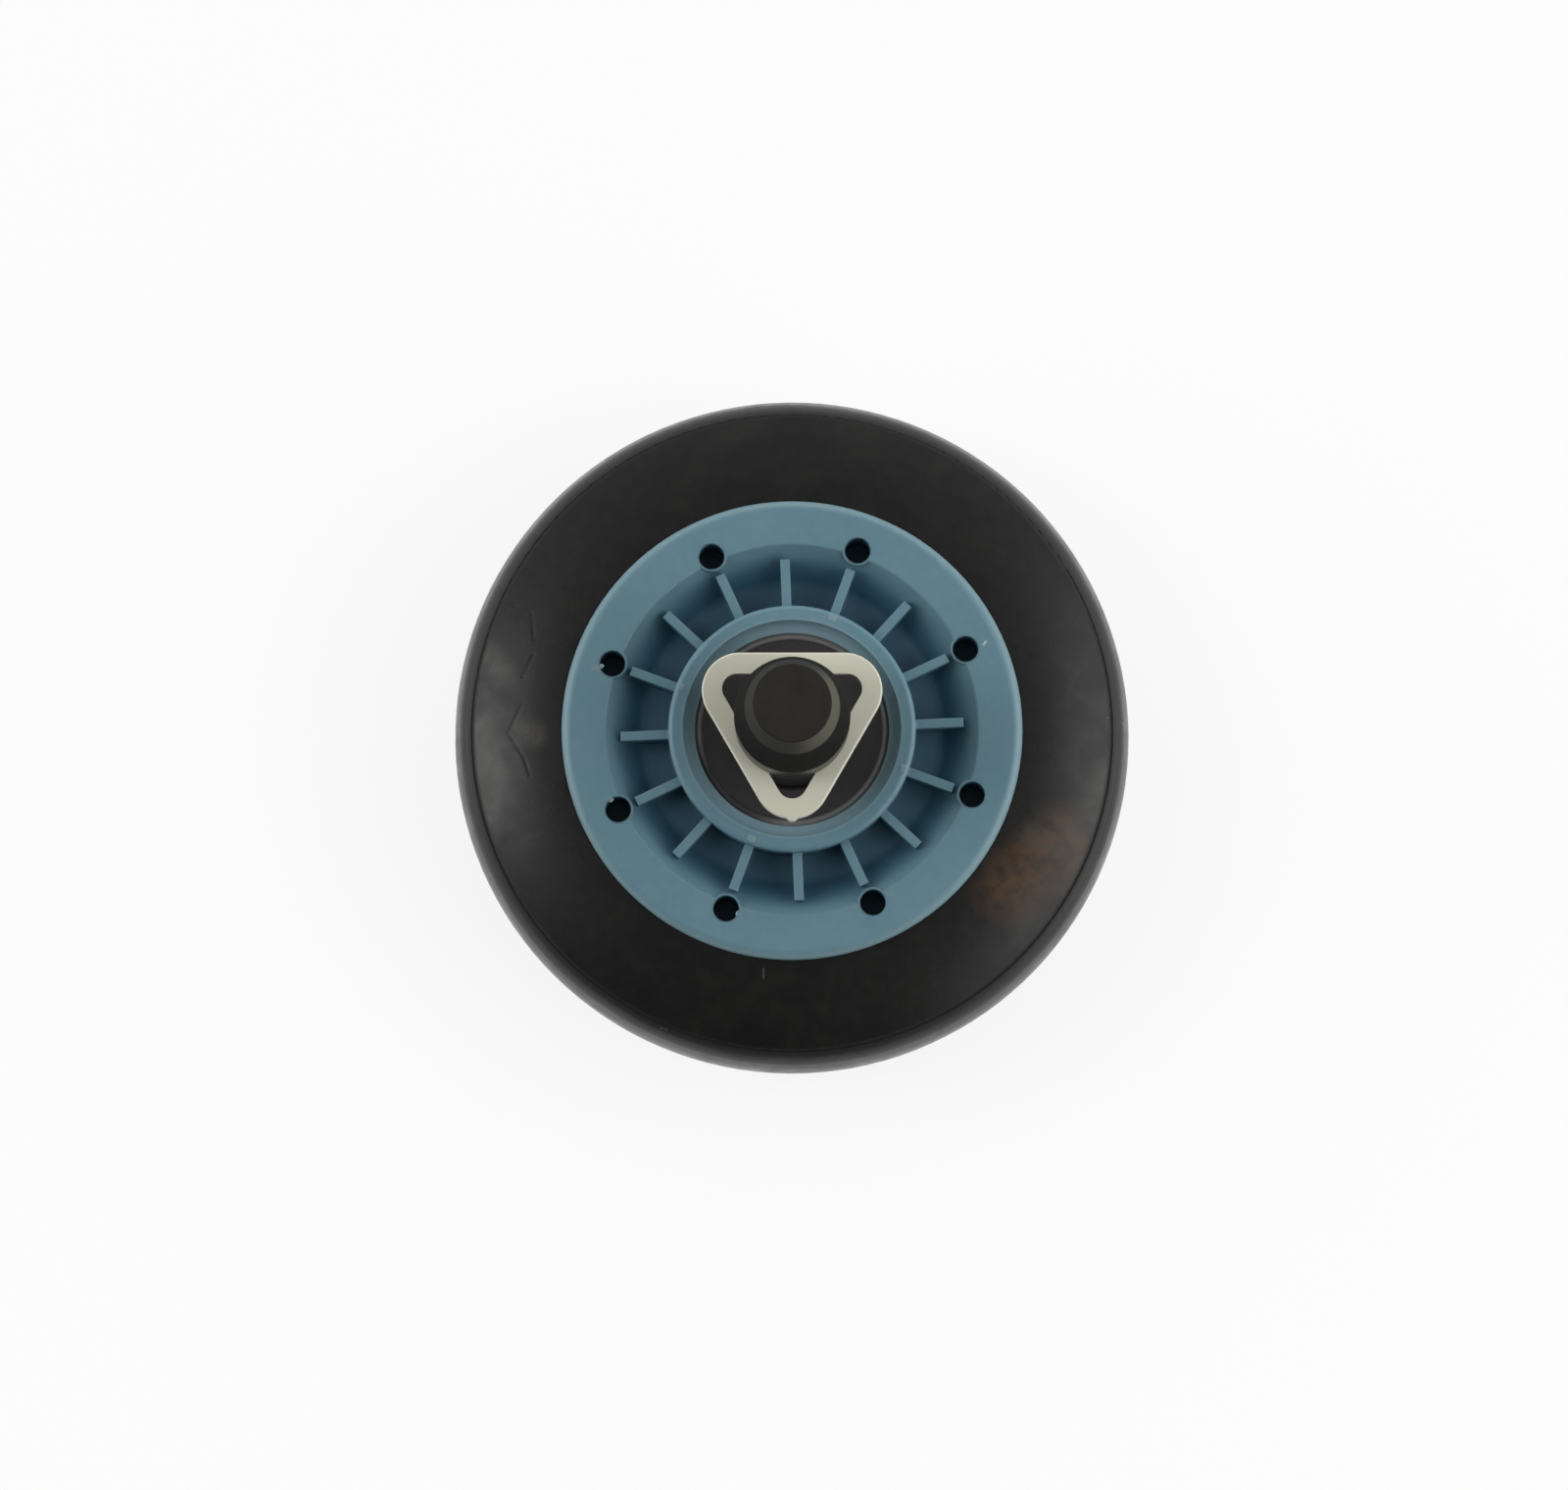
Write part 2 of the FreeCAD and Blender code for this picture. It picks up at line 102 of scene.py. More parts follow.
world = bpy.data.worlds.new("room")
bpy.context.scene.world = world
world.use_nodes = True
tree = world.node_tree
tree.nodes.clear()
way = add_node(tree, "TexCoord").outputs["Generated"]
rise = add_node(tree, "SeparateXYZ", {0: way}).outputs["Z"]
wall = add_node(tree, "MapRange", {
    "Value": rise, "From Min": wall_top[0], "From Max": wall_top[1],
    "To Min": wall_light, "To Max": 0.0}, interpolation_type="SMOOTHSTEP")
haze = add_node(tree, "MapRange", {
    "Value": rise, "From Min": haze_top[0], "From Max": haze_top[1],
    "To Min": haze_light, "To Max": ceiling_light})
wall = add_node(tree, "Math", {0: wall, 1: haze}, operation="ADD")
level = add_node(tree, "VectorMath", {0: way, 1: (1, 1, 0)}, operation="MULTIPLY")
level = add_node(tree, "VectorMath", {0: level}, operation="NORMALIZE")
near = add_node(tree, "VectorMath", {0: level, 1: (cos(shade_way), sin(shade_way), 0)},
                operation="DOT_PRODUCT")
near = add_node(tree, "MapRange", {
    "Value": near, "From Min": shade_spread[0], "From Max": shade_spread[1]},
    interpolation_type="SMOOTHSTEP")
high = add_node(tree, "MapRange", {
    "Value": rise, "From Min": shade_foot[0], "From Max": shade_foot[1]},
    interpolation_type="SMOOTHSTEP")
shade = add_node(tree, "Math", {0: near, 1: high}, operation="MULTIPLY")
room = add_node(tree, "Mix", {"Factor": shade, "A": wall, "B": shade_light}, data_type="FLOAT")
rays = add_node(tree, "LightPath")
strength = add_node(tree, "Mix", {
    "Factor": rays.outputs["Is Camera Ray"], "A": room, "B": 1.0}, data_type="FLOAT")
sky = add_node(tree, "Background", {"Color": (1, 1, 1, 1), "Strength": strength})
add_node(tree, "OutputWorld", {"Surface": sky})

# Each panel faces the roller from a metre away: azimuth and elevation of its
# middle in degrees, width and height in metres, power in watts
panels = {"left_panel": (173.5, 37, 0.36, 1.04, 3.35),
          "right_panel": (-7, 37, 0.90, 1.04, 4.9)}
for name, (azimuth, elevation, width, length, power) in panels.items():
    light = bpy.data.lights.new(name, "AREA")
    light.shape = "RECTANGLE"
    light.size = width
    light.size_y = length
    light.energy = power
    panel = bpy.data.objects.new(name, light)
    bpy.context.scene.collection.objects.link(panel)
    side = cos(radians(elevation))
    out = Vector((side * cos(radians(azimuth)), side * sin(radians(azimuth)),
                  sin(radians(elevation))))
    panel.location = out
    panel.rotation_euler = (-out).to_track_quat("-Z", "Y").to_euler()
    panel.visible_camera = False


# Camera: almost straight above the nose, leaning a little from the near side. Its
# place was fitted to how the centre of each circle shifts with its height.
camera_data = bpy.data.cameras.new("camera")
camera_data.sensor_width = 36.0
camera_data.lens = 157.5
camera = bpy.data.objects.new("camera", camera_data)
camera.location = (-0.00098, -0.0856, 0.8551)
camera.rotation_euler = (radians(5.72), 0, 0)
bpy.context.scene.collection.objects.link(camera)
bpy.context.scene.camera = camera
bpy.context.scene.view_settings.view_transform = "Standard"


# Tyre: black nitrile rubber, press-moulded on the rim. The mould leaves a
# smooth skin with soft cloudy patches of bloom and a few folds where it flowed.
# A warm brown reflection is painted on one side, and painted shade along each crease.
rubber = bpy.data.materials.new("moulded_black_rubber")
rubber.use_nodes = True
tree = rubber.node_tree
tree.nodes.clear()
place = add_node(tree, "TexCoord").outputs["Object"]
rise = add_node(tree, "SeparateXYZ", {0: place}).outputs["Z"]
flat = add_node(tree, "VectorMath", {0: place, 1: (1, 1, 0)}, operation="MULTIPLY")
reach = add_node(tree, "VectorMath", {0: flat}, operation="LENGTH").outputs["Value"]

# The front half of the tyre, and its front side, which ends at a crease 16.7 mm up
on_front = add_node(tree, "MapRange", {"Value": rise, "From Min": 0.0120, "From Max": 0.0125})
on_side = add_node(tree, "MapRange", {"Value": rise, "From Min": 0.0155, "From Max": 0.0169})

# Clouds of bloom 5 mm wide, finer mottling in them, and a grain of 0.3 mm
bloom = add_node(tree, "TexNoise", {
    "Vector": place, "Scale": 1 / 0.005, "Detail": 2.5, "Roughness": 0.5, "Distortion": 0.8})
mottle = add_node(tree, "TexNoise", {
    "Vector": place, "Scale": 1 / 0.0014, "Detail": 3.0, "Roughness": 0.55})
grain = add_node(tree, "TexNoise", {
    "Vector": place, "Scale": 1 / 0.0003, "Detail": 2.0, "Roughness": 0.5})
cloud = add_node(tree, "MapRange", {"Value": bloom, "From Min": 0.38, "From Max": 0.66})


def distance_to_line(tree, spot, points):
    """Distance in metres from the spot to a broken line through points in
    millimetres, measured flat, as seen along the shaft."""
    nearest = None
    for first, second in zip(points, points[1:]):
        start = Vector((*first, 0)) / 1000
        run = Vector((*second, 0)) / 1000 - start
        offset = add_node(tree, "VectorMath", {0: spot, 1: start}, operation="SUBTRACT")
        along = add_node(tree, "VectorMath", {0: offset, 1: run / run.length_squared},
                         operation="DOT_PRODUCT")
        held = add_node(tree, "Clamp", {"Value": along})
        foot = add_node(tree, "VectorMath", {0: run, "Scale": held}, operation="SCALE")
        gap = add_node(tree, "VectorMath", {0: offset, 1: foot}, operation="DISTANCE")
        if nearest is None:
            nearest = gap
        else:
            nearest = add_node(tree, "Math", {0: nearest, 1: gap}, operation="MINIMUM")
    return nearest


def lines_mask(tree, spot, lines, width, front, core=0.0):
    """1 up to the core's half width from the lines, 0 beyond the width, on the
    front side only."""
    mask = None
    for points in lines:
        gap = distance_to_line(tree, spot, points)
        part = add_node(tree, "MapRange", {
            "Value": gap, "From Min": core, "From Max": width,
            "To Min": 1.0, "To Max": 0.0}, interpolation_type="SMOOTHSTEP")
        if mask is None:
            mask = part
        else:
            mask = add_node(tree, "Math", {0: mask, 1: part}, operation="MAXIMUM")
    return add_node(tree, "Math", {0: mask, 1: front}, operation="MULTIPLY")


# Flow folds, scuffs, a nick, patches of bloom and a painted brown reflection, as
# points in millimetres on the front side
flow_folds = [
    [(-33.3, 2.8), (-34.8, -0.3), (-32.8, -3.4), (-32.1, -5.5)],
    [(-32.0, 14.5), (-31.7, 11.3)],
    [(-31.7, 9.3), (-33.1, 6.7)],
]
scuffs = [
    [(-3.49, -29.26), (-3.49, -30.45)],
    [(-16.03, -36.42), (-15.9, -36.45)],
    [(-15.49, -36.54), (-15.36, -36.6)],
    [(40.76, 1.09), (40.72, 1.3)],
    [(38.75, 1.63), (38.78, 1.75)],
]
nick = [[(11.95, 39.5), (13.03, 38.9)]]
bloomed = [
    [(-37.4, 9.4), (-35.8, 7.6)],
    [(-38.4, 0.7), (-37.0, -1.6), (-36.7, -7.2), (-36.4, -11.0)],
    [(-33.2, 0.2), (-31.5, -0.6)],
    [(38.4, -5.4), (37.8, -6.9)],
    [(37.2, -9.5), (33.8, -14.8), (29.4, -13.2)],
]
warm_reflection_lines = [[(26.6, -19.2), (29.2, -17.5), (32.9, -14.1)]]
folds = lines_mask(tree, flat, flow_folds, 0.00042, on_side)
folds = add_node(tree, "Math", {0: folds, 1: 0.7}, operation="MULTIPLY")
scuff = lines_mask(tree, flat, scuffs, 0.00013, on_front)
cut = lines_mask(tree, flat, nick, 0.00022, on_front)
haze = lines_mask(tree, flat, bloomed, 0.0026, on_side)
warm_reflection = lines_mask(tree, flat, warm_reflection_lines, 0.0062, on_side, core=0.0012)

# Bloom and the painted brown reflection are mottled: the bloom clings where the skin is a little
# rougher
speck = add_node(tree, "MapRange", {"Value": mottle, "From Min": 0.38, "From Max": 0.62})
patchy = add_node(tree, "MapRange", {
    "Value": bloom, "From Min": 0.42, "From Max": 0.58, "To Min": 0.5, "To Max": 1.0})
patchy = add_node(tree, "Mix", {"Factor": 0.4, "A": patchy, "B": speck}, data_type="FLOAT")
haze = add_node(tree, "Math", {0: haze, 1: patchy}, operation="MULTIPLY")
warm_reflection = add_node(tree, "Math", {0: warm_reflection, 1: patchy}, operation="MULTIPLY")

# Painted shade along both creases darkens the last millimetre of each side, which is also made
# rougher
crease_shade = add_node(tree, "MapRange", {
    "Value": reach, "From Min": 0.0388, "From Max": 0.0392}, interpolation_type="SMOOTHSTEP")
crease_shade_fade = add_node(tree, "MapRange", {
    "Value": reach, "From Min": 0.0397, "From Max": 0.0402, "To Min": 1.0, "To Max": 0.0},
    interpolation_type="SMOOTHSTEP")
crease_shade = add_node(tree, "Math", {0: crease_shade, 1: crease_shade_fade}, operation="MULTIPLY")

tone = add_node(tree, "Mix", {
    "Factor": cloud, "A": colour("#141414"), "B": colour("#1f1e1d")}, data_type="RGBA")
tone = add_node(tree, "Mix", {
    "Factor": haze, "A": tone, "B": colour("#3f3e3b")}, data_type="RGBA")
# Painted reflection: a warm brown glare on the lower right of the front side
tone = add_node(tree, "Mix", {
    "Factor": warm_reflection, "A": tone, "B": colour("#49341f")}, data_type="RGBA")
# Painted shade: the band beside each crease turns darker
tone = add_node(tree, "Mix", {
    "Factor": crease_shade, "A": tone, "B": colour("#0e0e0d")}, data_type="RGBA")
tone = add_node(tree, "Mix", {
    "Factor": folds, "A": tone, "B": colour("#0f0f0f")}, data_type="RGBA")
tone = add_node(tree, "Mix", {
    "Factor": cut, "A": tone, "B": colour("#080808")}, data_type="RGBA")
tone = add_node(tree, "Mix", {
    "Factor": scuff, "A": tone, "B": colour("#55534e")}, data_type="RGBA")
gloss = add_node(tree, "Mix", {"Factor": cloud, "A": 0.32, "B": 0.25}, data_type="FLOAT")
uneven = add_node(tree, "MapRange", {
    "Value": mottle, "From Min": 0.3, "From Max": 0.7, "To Min": -0.03, "To Max": 0.03})
gloss = add_node(tree, "Math", {0: gloss, 1: uneven}, operation="ADD")
gloss = add_node(tree, "Mix", {"Factor": crease_shade, "A": gloss, "B": 0.55}, data_type="FLOAT")
edge = add_node(tree, "Bevel", {"Radius": 0.0003}, samples=4)
relief = add_node(tree, "Bump", {
    "Strength": 0.12, "Distance": 0.00004, "Height": mottle, "Normal": edge})
relief = add_node(tree, "Bump", {
    "Strength": 0.2, "Distance": 0.00001, "Height": grain, "Normal": relief})
relief = add_node(tree, "Bump", {
    "Strength": 0.35, "Distance": 0.00005, "Height": folds, "Normal": relief}, invert=True)
skin = add_node(tree, "BsdfPrincipled", {
    "Base Color": tone, "Roughness": gloss, "IOR": 1.5, "Specular IOR Level": 0.40,
    "Normal": relief})
add_node(tree, "OutputMaterial", {"Surface": skin})
nodes["tyre"].material_slots[0].material = rubber


# Hub: one piece of glass-filled nylon in grey-blue, injection-moulded. The tool
# leaves a faint spark-eroded grain. Painted shade darkens the dish, a painted
# highlight lightens the rim's round edge, and painted light brightens the bush's recess.
nylon = bpy.data.materials.new("moulded_grey_blue_nylon")
nylon.use_nodes = True
tree = nylon.node_tree
tree.nodes.clear()
place = add_node(tree, "TexCoord").outputs["Object"]
rise = add_node(tree, "SeparateXYZ", {0: place}).outputs["Z"]
flat = add_node(tree, "VectorMath", {0: place, 1: (1, 1, 0)}, operation="MULTIPLY")
reach = add_node(tree, "VectorMath", {0: flat}, operation="LENGTH").outputs["Value"]
drift = add_node(tree, "TexNoise", {
    "Vector": place, "Scale": 1 / 0.008, "Detail": 3.0, "Roughness": 0.5})
speckle = add_node(tree, "TexNoise", {
    "Vector": place, "Scale": 1 / 0.0009, "Detail": 3.0, "Roughness": 0.6})
erosion = add_node(tree, "TexNoise", {
    "Vector": place, "Scale": 1 / 0.0003, "Detail": 3.0, "Roughness": 0.6})

# Painted light lies within 13.5 mm of the axis, a painted highlight beyond 27.7 mm,
# and painted shade, darker and bluer, fills the dish between boss and rim, above the web
recess_painted_light = add_node(tree, "MapRange", {
    "Value": reach, "From Min": 0.0133, "From Max": 0.0137, "To Min": 0.45, "To Max": 0.0},
    interpolation_type="SMOOTHSTEP")
rim_highlight = add_node(tree, "MapRange", {
    "Value": reach, "From Min": 0.0272, "From Max": 0.0282, "To Min": 0.0, "To Max": 0.5},
    interpolation_type="SMOOTHSTEP")
dish_shade = add_node(tree, "MapRange", {
    "Value": rise, "From Min": 0.0198, "From Max": 0.0165, "To Min": 0.0, "To Max": 1.0},
    interpolation_type="SMOOTHSTEP")
in_dish = add_node(tree, "MapRange", {
    "Value": reach, "From Min": 0.0148, "From Max": 0.0150})
dish_shade = add_node(tree, "Math", {0: dish_shade, 1: in_dish}, operation="MULTIPLY")
above_web = add_node(tree, "MapRange", {"Value": rise, "From Min": 0.0130, "From Max": 0.0140})
dish_shade = add_node(tree, "Math", {0: dish_shade, 1: above_web}, operation="MULTIPLY")
tone = add_node(tree, "Mix", {
    "Factor": drift, "A": colour("#597d8b"), "B": colour("#638592")}, data_type="RGBA")
fleck = add_node(tree, "MapRange", {
    "Value": speckle, "From Min": 0.35, "From Max": 0.7, "To Min": 0.0, "To Max": 0.3})
tone = add_node(tree, "Mix", {
    "Factor": fleck, "A": tone, "B": colour("#6d8b95")}, data_type="RGBA")
# Painted shade: the dish turns darker and bluer
tone = add_node(tree, "Mix", {
    "Factor": dish_shade, "A": tone, "B": colour("#446b7f")}, data_type="RGBA")
# Painted highlight on the rim's rounded edge
tone = add_node(tree, "Mix", {
    "Factor": rim_highlight, "A": tone, "B": colour("#839ca0")}, data_type="RGBA")
# Painted light: the bush's recess and cove turn paler
tone = add_node(tree, "Mix", {
    "Factor": recess_painted_light, "A": tone, "B": colour("#869da6")}, data_type="RGBA")

# A pale chip beside one hole and a smear beside another, on the flange's face
on_face = add_node(tree, "MapRange", {"Value": rise, "From Min": 0.0199, "From Max": 0.0200})
chip = lines_mask(tree, flat, [[(23.48, 10.42), (23.72, 10.74)]], 0.00026, on_face)
smear = lines_mask(tree, flat, [[(-24.30, 7.50), (-23.35, 7.72)]], 0.00055, on_face)
smear = add_node(tree, "Math", {0: smear, 1: 0.6}, operation="MULTIPLY")
tone = add_node(tree, "Mix", {
    "Factor": chip, "A": tone, "B": colour("#b3b9b6")}, data_type="RGBA")
tone = add_node(tree, "Mix", {
    "Factor": smear, "A": tone, "B": colour("#869196")}, data_type="RGBA")
gloss = add_node(tree, "MapRange", {"Value": drift, "To Min": 0.36, "To Max": 0.50})
edge = add_node(tree, "Bevel", {"Radius": 0.00025}, samples=6)
relief = add_node(tree, "Bump", {
    "Strength": 0.3, "Distance": 0.00002, "Height": erosion, "Normal": edge})
body = add_node(tree, "BsdfPrincipled", {
    "Base Color": tone, "Roughness": gloss, "IOR": 1.5, "Normal": relief})
add_node(tree, "OutputMaterial", {"Surface": body})
nodes["hub"].material_slots[0].material = nylon


# Moulding marks on the hub: a fine lip round each blind hole where the core pin
# met the tool, and a square pad on the boss's end at every fourth rib, where an
# ejector pin pushed. Stressed nylon turns pale, so the pads are lighter.
flange_height = 0.0201
hole_circle = 0.02343
hole_radius = 0.00157
hole_angles = [radians(24.9 + 45 * step) for step in range(8)]
lip_width = 0.00012
lip_height = 0.00003
pad_size = (0.00092, 0.00105, 0.00050)
pad_place = (0.01442, 0, 0.02099)
pad_angles = [radians(69.9 + 90 * step) for step in range(4)]

pale_nylon = bpy.data.materials.new("thin_pale_nylon")
pale_nylon.use_nodes = True
tree = pale_nylon.node_tree
tree.nodes.clear()
place = add_node(tree, "TexCoord").outputs["Object"]
patchy = add_node(tree, "TexNoise", {
    "Vector": place, "Scale": 1 / 0.0008, "Detail": 3.0, "Roughness": 0.6})
tone = add_node(tree, "Mix", {
    "Factor": patchy, "A": colour("#67858f"), "B": colour("#869a9f")}, data_type="RGBA")
relief = add_node(tree, "Bump", {"Strength": 0.3, "Distance": 0.00002, "Height": patchy})
body = add_node(tree, "BsdfPrincipled", {
    "Base Color": tone, "Roughness": 0.45, "IOR": 1.5, "Normal": relief})
add_node(tree, "OutputMaterial", {"Surface": body})


def repeated_round(piece, angles):
    """The piece copied round the shaft's axis and joined into one mesh."""
    copies = [piece]
    for angle in angles[1:]:
        copy = piece.copy()
        copy.data = piece.data.copy()
        bpy.context.scene.collection.objects.link(copy)
        copy.rotation_euler.z = angle
        copies.append(copy)
    piece.rotation_euler.z = angles[0]
    bpy.ops.object.select_all(action="DESELECT")
    for copy in copies:
        copy.select_set(True)
    bpy.context.view_layer.objects.active = piece
    bpy.ops.object.transform_apply(location=True, rotation=True, scale=True)
    bpy.ops.object.join()
    return piece


bpy.ops.object.select_all(action="DESELECT")
bpy.ops.mesh.primitive_torus_add(
    location=(hole_circle, 0, flange_height), major_segments=48, minor_segments=8,
    major_radius=hole_radius + lip_width / 2, minor_radius=lip_width / 2)
lips = bpy.context.object
lips.name = "hole_lips"
bpy.ops.object.mode_set(mode="EDIT")
bpy.ops.mesh.select_all(action="SELECT")
bpy.ops.transform.resize(value=(1, 1, 2 * lip_height / lip_width),
                         center_override=(hole_circle, 0, flange_height))
bpy.ops.object.mode_set(mode="OBJECT")
bpy.ops.object.transform_apply(location=True, rotation=True, scale=True)
bpy.ops.object.shade_smooth()
lips = repeated_round(lips, hole_angles)
lips.data.materials.append(nylon)
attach(lips, "wheel")

bpy.ops.object.select_all(action="DESELECT")
bpy.ops.mesh.primitive_cube_add(size=1, location=pad_place)
pads = bpy.context.object
pads.name = "ejector_pads"
pads.scale = pad_size
bpy.ops.object.transform_apply(location=True, rotation=True, scale=True)
for face in pads.data.polygons:
    face.select = face.normal.z > 0.9
bpy.ops.object.mode_set(mode="EDIT")
bpy.ops.mesh.select_mode(type="FACE")
bpy.ops.transform.resize(value=(0.92, 0.92, 1), center_override=pad_place)
bpy.ops.object.mode_set(mode="OBJECT")
soft = pads.modifiers.new("soft_edges", "BEVEL")
soft.width = 0.00009
soft.segments = 3
bpy.ops.object.modifier_apply(modifier="soft_edges")
pads = repeated_round(pads, pad_angles)
bpy.ops.object.shade_smooth_by_angle(angle=radians(40))
pads.data.materials.append(pale_nylon)
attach(pads, "wheel")


# Flash: three scraps of nylon left standing into the mouths of three holes. Each
# is a flat rounded drop, a little narrower where it hangs from the wall.
scrap_thickness = 0.00034
scrap_sink = 0.36     # share of the thickness from the flange's face to its middle
narrow_from = -0.18   # share of the length from the middle to where it narrows

# Hole's angle, scrap's angle in it, its tip from the middle, length and width
scraps = [(159.9, 192.7, 0.00109, 0.00105, 0.00092),
          (204.9, 126.6, 0.00124, 0.00095, 0.00125),
          (249.9, -23.0, 0.00135, 0.00080, 0.00130)]
scrap_pieces = []
for hole_angle, scrap_angle, tip, length, width in scraps:
    bpy.ops.object.select_all(action="DESELECT")
    bpy.ops.mesh.primitive_ico_sphere_add(subdivisions=4, radius=0.5)
    scrap = bpy.context.object
    bpy.ops.object.mode_set(mode="EDIT")
    bpy.ops.mesh.select_all(action="SELECT")
    bpy.ops.transform.resize(value=(length, width, scrap_thickness), center_override=(0, 0, 0))
    bpy.ops.object.mode_set(mode="OBJECT")
    narrow_place = length * narrow_from
    for corner in scrap.data.vertices:
        corner.select = corner.co.x < narrow_place
    bpy.ops.object.mode_set(mode="EDIT")
    bpy.ops.mesh.select_mode(type="VERT")
    bpy.ops.transform.resize(value=(1.1, 0.72, 0.8), center_override=(narrow_place, 0, 0))
    bpy.ops.mesh.select_all(action="SELECT")
    bpy.ops.mesh.vertices_smooth(factor=0.5, repeat=3)
    bpy.ops.object.mode_set(mode="OBJECT")
    turn = radians(scrap_angle)
    middle = tip + length / 2
    scrap.rotation_euler.z = turn + radians(180)
    scrap.location = (hole_circle * cos(radians(hole_angle)) + middle * cos(turn),
                      hole_circle * sin(radians(hole_angle)) + middle * sin(turn),
                      flange_height - scrap_thickness * scrap_sink)
    bpy.ops.object.transform_apply(location=True, rotation=True, scale=True)
    bpy.ops.object.shade_smooth()
    scrap_pieces.append(scrap)
bpy.ops.object.select_all(action="DESELECT")
for scrap in scrap_pieces:
    scrap.select_set(True)
bpy.context.view_layer.objects.active = scrap_pieces[0]
bpy.ops.object.join()
flash = bpy.context.object
flash.name = "moulding_flash"
flash.data.materials.append(pale_nylon)
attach(flash, "wheel")


# Bush: sintered iron soaked in oil, pressed into the boss. Pressed powder shows
# as a fine dark grain, and its chamfers are a little brighter where the die and
# the boss rubbed them, with painted shade dimming them on the lower left side.
sinter = bpy.data.materials.new("oiled_sintered_iron")
sinter.use_nodes = True
tree = sinter.node_tree
tree.nodes.clear()
place = add_node(tree, "TexCoord").outputs["Object"]
flat = add_node(tree, "VectorMath", {0: place, 1: (1, 1, 0)}, operation="MULTIPLY")
reach = add_node(tree, "VectorMath", {0: flat}, operation="LENGTH").outputs["Value"]
powder = add_node(tree, "TexNoise", {
    "Vector": place, "Scale": 1 / 0.0002, "Detail": 2.0, "Roughness": 0.7})
blotch = add_node(tree, "TexNoise", {
    "Vector": place, "Scale": 1 / 0.003, "Detail": 3.0, "Roughness": 0.6})
rubbed = add_node(tree, "MapRange", {
    "Value": reach, "From Min": 0.0110, "From Max": 0.0114})
# Painted shade: the rubbed chamfer is dimmed on the lower left side
shaded_side = add_node(tree, "VectorMath", {0: flat}, operation="NORMALIZE")
shaded_side = add_node(tree, "VectorMath", {0: shaded_side, 1: (-0.71, -0.71, 0)}, operation="DOT_PRODUCT")
shaded_side = add_node(tree, "MapRange", {
    "Value": shaded_side, "From Min": 0.75, "From Max": 0.98, "To Min": 1.0, "To Max": 0.25},
    interpolation_type="SMOOTHSTEP")
rubbed = add_node(tree, "Math", {0: rubbed, 1: shaded_side}, operation="MULTIPLY")
tone = add_node(tree, "Mix", {
    "Factor": powder, "A": colour("#211f20"), "B": colour("#413e3e")}, data_type="RGBA")
tone = add_node(tree, "Mix", {
    "Factor": rubbed, "A": tone, "B": colour("#a19c99")}, data_type="RGBA")
gloss = add_node(tree, "MapRange", {"Value": blotch, "To Min": 0.42, "To Max": 0.6})
relief = add_node(tree, "Bump", {"Strength": 0.4, "Distance": 0.00003, "Height": powder})
metal = add_node(tree, "BsdfPrincipled", {
    "Base Color": tone, "Metallic": 0.35, "Roughness": gloss, "Normal": relief})
add_node(tree, "OutputMaterial", {"Surface": metal})
nodes["bush"].material_slots[0].material = sinter


# Shaft: free-cutting steel turned on a lathe and blackened. The black oxide is
# matt and dark, the lathe leaves fine rings round the axis, and the seat that
# runs in a bracket is ground smoother.
steel = bpy.data.materials.new("blackened_turned_steel")
steel.use_nodes = True
tree = steel.node_tree
tree.nodes.clear()
place = add_node(tree, "TexCoord").outputs["Object"]
rise = add_node(tree, "SeparateXYZ", {0: place}).outputs["Z"]
flat = add_node(tree, "VectorMath", {0: place, 1: (1, 1, 0)}, operation="MULTIPLY")
reach = add_node(tree, "VectorMath", {0: flat}, operation="LENGTH").outputs["Value"]
oxide = add_node(tree, "TexNoise", {
    "Vector": place, "Scale": 1 / 0.0022, "Detail": 4.0, "Roughness": 0.6})

# Tool marks: rings 0.25 mm apart on the end face and along the length. The real
# feed is about 0.1 mm, too fine to show
feed = 0.00025
mark = add_node(tree, "Math", {0: rise, 1: reach}, operation="ADD")
mark = add_node(tree, "Math", {0: mark, 1: 2 * pi / feed}, operation="MULTIPLY")
mark = add_node(tree, "Math", {0: mark}, operation="SINE")

# The seat ends 37 mm up, and the tip starts at 46 mm and ends in its face at 50 mm
ground = add_node(tree, "MapRange", {
    "Value": rise, "From Min": 0.0373, "From Max": 0.0367}, interpolation_type="SMOOTHSTEP")
tip = add_node(tree, "MapRange", {
    "Value": rise, "From Min": 0.0456, "From Max": 0.0464}, interpolation_type="SMOOTHSTEP")
end = add_node(tree, "MapRange", {"Value": rise, "From Min": 0.05000, "From Max": 0.05008})
tone = add_node(tree, "Mix", {
    "Factor": oxide, "A": colour("#151413"), "B": colour("#201f1d")}, data_type="RGBA")
face = add_node(tree, "Mix", {
    "Factor": oxide, "A": colour("#262522"), "B": colour("#33312e")}, data_type="RGBA")
# Painted highlight: the tip turns paler all round, most of all on its right side
highlight_way = add_node(tree, "VectorMath", {0: flat}, operation="NORMALIZE")
highlight_way = add_node(tree, "VectorMath", {0: highlight_way, 1: (0.97, -0.24, 0)},
                    operation="DOT_PRODUCT")
tip_highlight = add_node(tree, "MapRange", {
    "Value": highlight_way, "From Min": 0.1, "From Max": 0.9, "To Min": 0.3, "To Max": 1.0},
    interpolation_type="SMOOTHSTEP")
tip_highlight = add_node(tree, "Math", {0: tip_highlight, 1: tip}, operation="MULTIPLY")
tone = add_node(tree, "Mix", {
    "Factor": tip_highlight, "A": tone, "B": colour("#555349")}, data_type="RGBA")
tone = add_node(tree, "Mix", {"Factor": end, "A": tone, "B": face}, data_type="RGBA")
tone = add_node(tree, "Mix", {
    "Factor": ground, "A": tone, "B": colour("#3a3937")}, data_type="RGBA")
